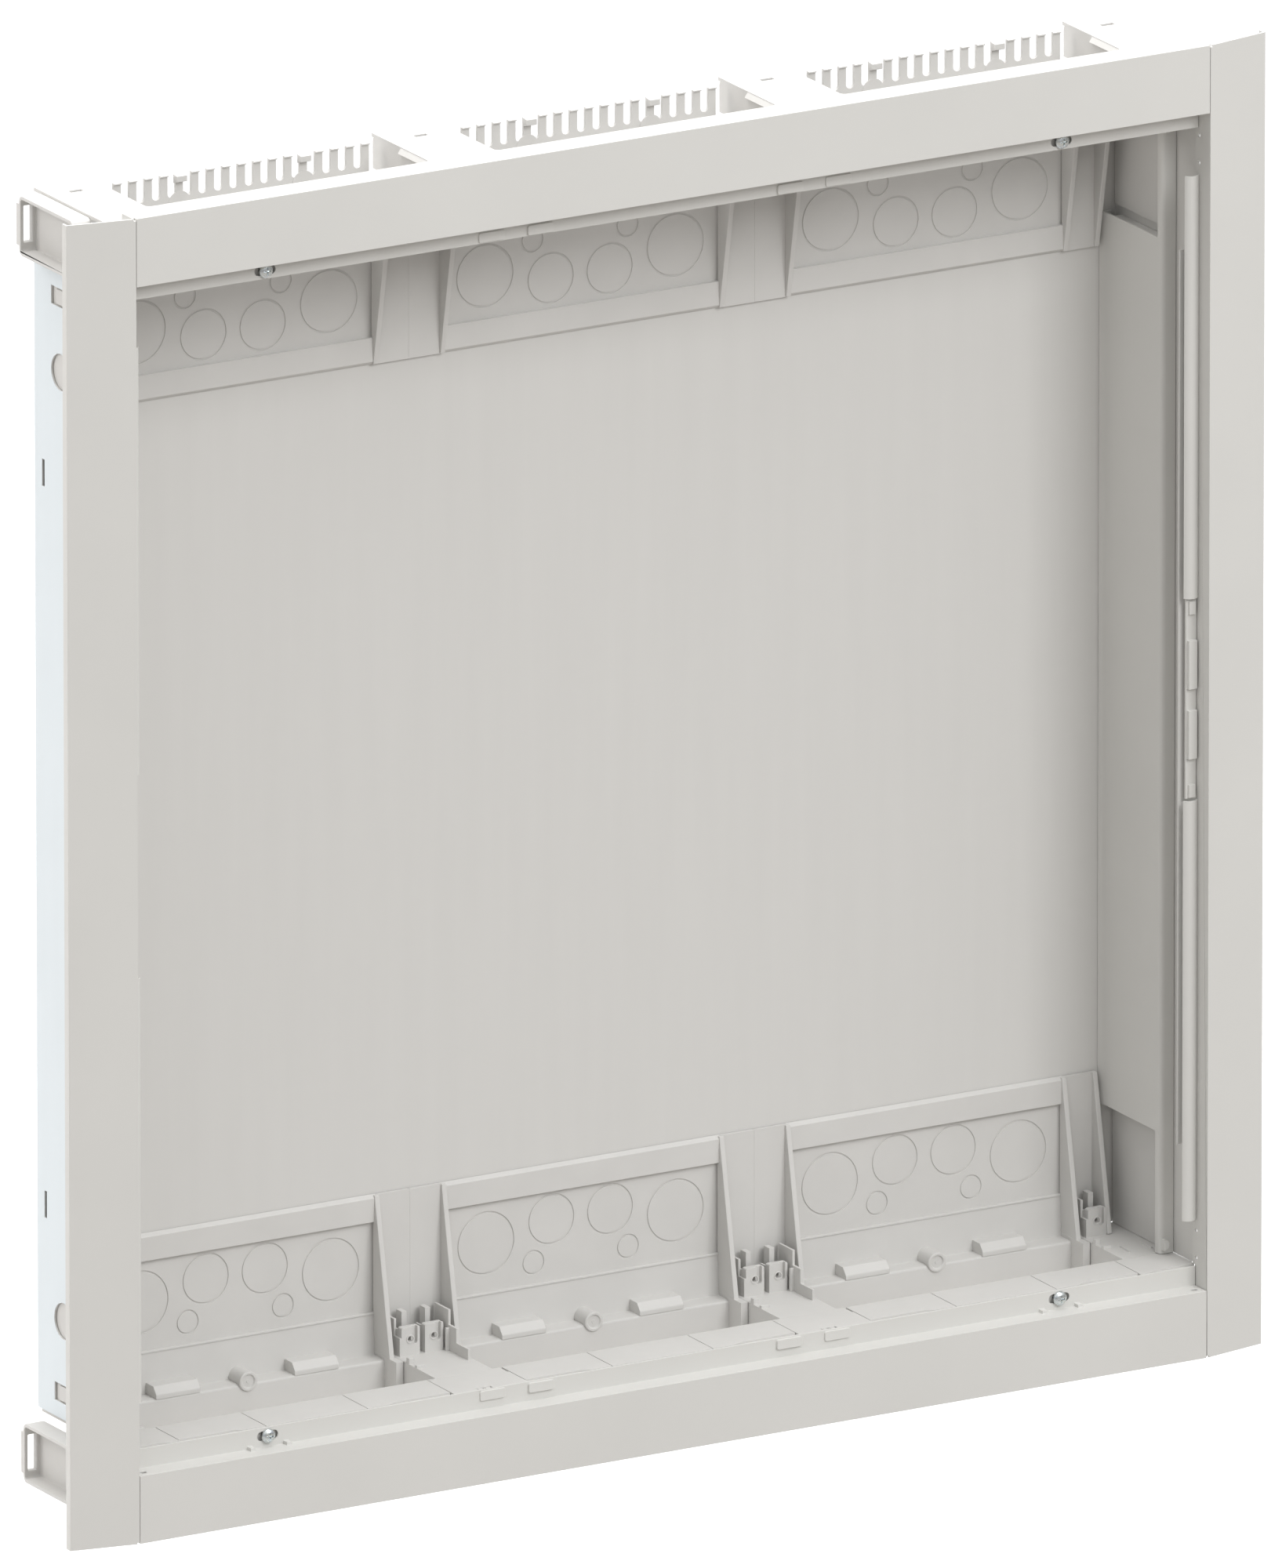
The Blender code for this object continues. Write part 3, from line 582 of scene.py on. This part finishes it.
def comb(name, place):
    """Cable comb with round-bottomed slots, small lips on its teeth and two snap latches."""
    top, root, foot = 11.7, 27.0, 37.0
    radius = COMB_GAP / 2.0
    tooth = (2.0 * COMB_HALF - (COMB_TEETH - 1) * COMB_GAP) / COMB_TEETH
    pitch = tooth + COMB_GAP
    outline = [(-COMB_HALF, foot), (-COMB_HALF, top)]
    for index in range(COMB_TEETH - 1):
        edge = -COMB_HALF + tooth + index * pitch
        outline.append((edge, top))
        outline += arc((edge + radius, root - radius), radius, 180.0, 0.0, 10)
        outline.append((edge + COMB_GAP, top))
    outline += [(COMB_HALF, top), (COMB_HALF, foot)]
    shells = Shells(place)
    shells.prism("depth", outline, COMB_DEPTH, COMB_DEPTH + 2.0, 0.2)
    for index in range(COMB_TEETH):
        start = -COMB_HALF + index * pitch
        if index in LATCH_TEETH:
            hook = [(104.9, 12.2), (109.9, 11.65), (109.9, 17.6), (104.9, 16.0)]
            shells.prism("x", hook, start - 0.4, start + tooth + 1.6, 0.3)
            web = arc((start + tooth / 2.0, 31.0), 8.0, 180.0, 360.0, 12)
            shells.prism("depth", web, 109.2, 109.7, 0.15)
        else:
            lip = [(108.0, 11.65), (109.9, 11.65), (109.9, 12.9), (108.0, 12.5)]
            shells.prism("x", lip, start + 0.05, start + tooth - 0.05, 0.15)
    dress(shells.build(f"{name}_look"), name, PLASTIC)


def rail(name, place):
    """Bezel rail with embossed pads on its flange, locating nibs and a small hole at each end."""
    added = Shells(place)
    cut = Shells(place)
    for side in (-1.0, 1.0):
        for centre, rise in ((90.0, 1.6), (125.0, 1.1)):
            middle = side * centre
            pad = rounded((middle - 9.2, middle + 9.2), (50.0, 56.3), 1.4)
            added.prism("depth", pad, FLANGE_DEPTH - rise, FLANGE_DEPTH + 0.3, 0.0)
        for offset in (-13.0, 13.0):
            middle = side * (SCREW_X + offset)
            added.box((middle - 1.8, middle + 1.8), (9.6, FLANGE_DEPTH + 0.3), (44.3, 46.6), 0.0)
        slot = rounded((side * 381.0 - 2.2, side * 381.0 + 2.2), (4.8, 8.2), 1.1)
        cut.prism("inset", slot, 42.0, 46.0, 0.0)
    refine(name, PAINT, added, cut, 0.35)


def stile(name, place):
    """Bezel stile with a small notch at each end of its inner edge."""
    cut = Shells(place)
    for inset in (0.0, 2.0 * HALF):
        cut.box((386.9, 388.5), (-1.0, 2.6), (inset - 1.3, inset + 1.3), 0.0)
    refine(name, PAINT, None, cut, 0.3)


def side_profile(name, place):
    """Folded profile with a half-round clip at each foot."""
    added = Shells(place)
    for inset in (FOOT_CLIP_INSET, 2.0 * HALF - FOOT_CLIP_INSET):
        half_disc = arc((380.4, inset), 3.8, -90.0, 90.0, 16)
        added.prism("depth", half_disc, 42.4, 48.2, 0.0)
    refine(name, PAINT, added, None, 0.3)


def screw(name, place):
    """Pan-head screw with a cross recess and a threaded shank."""
    front, rear, tip = 11.0, 14.0, 38.0
    head = [(0.0, front), (1.2, front + 0.03), (2.4, front + 0.14), (3.4, front + 0.5), (4.2, front + 1.15),
            (4.6, front + 1.8), (4.7, front + 2.2), (4.7, rear - 0.2), (4.5, rear)]
    thread = []
    turn = 0
    while rear + 0.4 + turn * 0.8 < tip - 1.0:
        start = rear + 0.4 + turn * 0.8
        thread += [(2.1, start), (2.48, start + 0.4)]
        turn += 1
    body = Shells(place)
    body.lathe((SCREW_X, SCREW_INSET), head + thread + [(2.1, tip - 0.6), (1.7, tip), (0.0, tip)])
    piece = body.build(f"{name}_look")
    for size in ((2.5, 0.5), (0.5, 2.5)):
        recess = Shells(place)
        width = (SCREW_X - size[0], SCREW_X + size[0])
        height = (SCREW_INSET - size[1], SCREW_INSET + size[1])
        outline = rounded(width, height, 0.3, 3)
        recess.prism("depth", outline, front - 1.0, front + 1.5, 0.0)
        combine(piece, "DIFFERENCE", recess.build("recess"))
    dress(piece, name, ZINC)


def build_board():
    refine("back_panel", SHEET, width=0.2)
    seam = Shells()
    for middle in (-PITCH / 2.0, PITCH / 2.0):
        for sign in (1.0, -1.0):
            ends = (HALF + sign * (57.4 - HALF), HALF + sign * (159.7 - HALF))
            seam.box((middle - 0.4, middle + 0.4), (118.95, 119.4), ends, 0.0)
    extra(seam, "module_seam_strips")
    for end, flip_z in ENDS:
        for field, index in FIELDS:
            place = Place(PITCH if index else 0.0, index < 0, flip_z)
            module(f"{end}_{field}_end_module", place, bool(index))
            front_cover(f"{end}_{field}_front_cover", place)
            comb(f"{end}_{field}_comb", place)
        for side, sign in SIDES:
            junction(f"{end}_{side}_junction", Place(sign * PITCH / 2.0, False, flip_z))
            corner_cover(f"{end}_{side}_corner_cover", Place(PITCH * 1.5, sign < 0, flip_z))
            refine(f"{end}_{side}_corner_pocket", PLASTIC, width=0.7)
            refine(f"{end}_{side}_wall_liner", PLASTIC, width=0.2)
            screw(f"frame_screw_{end}_{side}", Place(0.0, sign < 0, flip_z))
            refine(f"screw_nut_{end}_{side}", ZINC, width=0.3)
        end_plate(f"{end}_end_plate", Place(0.0, False, flip_z))
        rail(f"frame_{end}_rail", Place(0.0, False, flip_z))
    for side, sign in SIDES:
        place = Place(0.0, sign < 0)
        wall = refine(f"{side}_side_wall", SHEET, width=0.25)
        wall.data.materials.append(OUTER_SHEET)
        for face in wall.data.polygons:
            if abs(face.center.x) > OUTER_FACE_X:
                face.material_index = 1
        side_profile(f"{side}_side_profile", place)
        stile(f"frame_{side}_stile", place)
        refine(f"{side}_latch_strip", PAINT, width=0.3)


def build_stage():
    """A pale studio floor below the board, its colour fading from warm grey in front to white behind: the
    grey in front is painted shade that dims the light the floor throws back into the board.
    """
    mesh = bpy.data.meshes.new("floor")
    shape = bmesh.new()
    bmesh.ops.create_grid(shape, x_segments=1, y_segments=1, size=30.0)
    shape.to_mesh(mesh)
    shape.free()
    floor = bpy.data.objects.new("floor", mesh)
    floor.location = (0.0, 0.0, -HALF * MM - FLOOR_GAP)
    bpy.context.scene.collection.objects.link(floor)
    made, tree, shader = new_material("studio_floor_painted_shade")
    place = tree.nodes.new("ShaderNodeTexCoord")
    split = tree.nodes.new("ShaderNodeSeparateXYZ")
    ramp = tree.nodes.new("ShaderNodeMapRange")
    ramp.interpolation_type = "SMOOTHSTEP"
    ramp.inputs["From Min"].default_value = -0.6
    ramp.inputs["From Max"].default_value = 0.6
    tree.links.new(place.outputs["Object"], split.inputs["Vector"])
    tree.links.new(split.outputs["Y"], ramp.inputs["Value"])
    # Painted shade: the floor's colour is darker in front of the board, so it throws less light into the
    # board's interior.
    colour = tint(tree, ramp.outputs["Result"], (0.36, 0.34, 0.32), (0.95, 0.95, 0.95))
    tree.links.new(colour, shader.inputs["Base Color"])
    shader.inputs["Roughness"].default_value = 0.9
    shader.inputs["Specular IOR Level"].default_value = 0.1
    mesh.materials.append(made)


def build_world():
    """Soft studio sky, brightest overhead."""
    world = bpy.data.worlds.new("studio")
    bpy.context.scene.world = world
    world.use_nodes = True
    tree = world.node_tree
    background = tree.nodes["Background"]
    place = tree.nodes.new("ShaderNodeTexCoord")
    split = tree.nodes.new("ShaderNodeSeparateXYZ")
    ramp = tree.nodes.new("ShaderNodeMapRange")
    ramp.inputs["From Min"].default_value = 0.0
    ramp.inputs["From Max"].default_value = 1.0
    tree.links.new(place.outputs["Generated"], split.inputs["Vector"])
    tree.links.new(split.outputs["Z"], ramp.inputs["Value"])
    colour = tint(tree, ramp.outputs["Result"], (0.30, 0.30, 0.30), (1.2, 1.2, 1.21))
    tree.links.new(colour, background.inputs["Color"])
    background.inputs["Strength"].default_value = 1.0


def area_light(name, position, target, size, power, colour):
    data = bpy.data.lights.new(name, "AREA")
    data.shape = "SQUARE"
    data.size = size
    data.energy = power
    data.color = colour
    light = bpy.data.objects.new(name, data)
    light.location = position
    direction = Vector(target) - Vector(position)
    light.rotation_euler = direction.to_track_quat("-Z", "Y").to_euler()
    bpy.context.scene.collection.objects.link(light)


def build_camera():
    """A long lens from the front left, a little above the board."""
    azimuth = math.radians(-29.93)
    elevation = math.radians(16.98)
    distance = 35.815
    towards = Vector((math.sin(azimuth) * math.cos(elevation), -math.cos(azimuth) * math.cos(elevation),
                      math.sin(elevation)))
    right = (-towards).cross(Vector((0.0, 0.0, 1.0))).normalized()
    up = right.cross(-towards)
    data = bpy.data.cameras.new("camera")
    data.sensor_fit = "VERTICAL"
    data.sensor_height = 36.0
    data.lens = 1312.4
    data.shift_x = -0.0225
    data.shift_y = 0.0061
    data.clip_end = 200.0
    camera = bpy.data.objects.new("camera", data)
    rotation = Matrix((right, up, towards)).transposed()
    centre = Vector((0.0, -DEPTH * MM, 0.0))
    camera.matrix_world = Matrix.Translation(centre + towards * distance) @ rotation.to_4x4()
    bpy.context.scene.collection.objects.link(camera)
    bpy.context.scene.camera = camera


build_camera()
build_world()
build_stage()
area_light("key", (1.2, -4.4, 3.4), (0.0, 0.0, 0.0), 2.6, 155.0, (1.0, 1.0, 1.0))
area_light("overhead", (0.0, 0.7, 3.4), (0.0, 0.0, 0.0), 2.8, 95.0, (1.0, 1.0, 1.0))
area_light("rim", (-3.7, 0.8, 2.3), (0.0, 0.0, 0.0), 2.4, 56.0, (1.0, 0.955, 0.915))
build_board()
bpy.context.scene.view_settings.view_transform = "Standard"
bpy.context.scene.view_settings.look = "None"
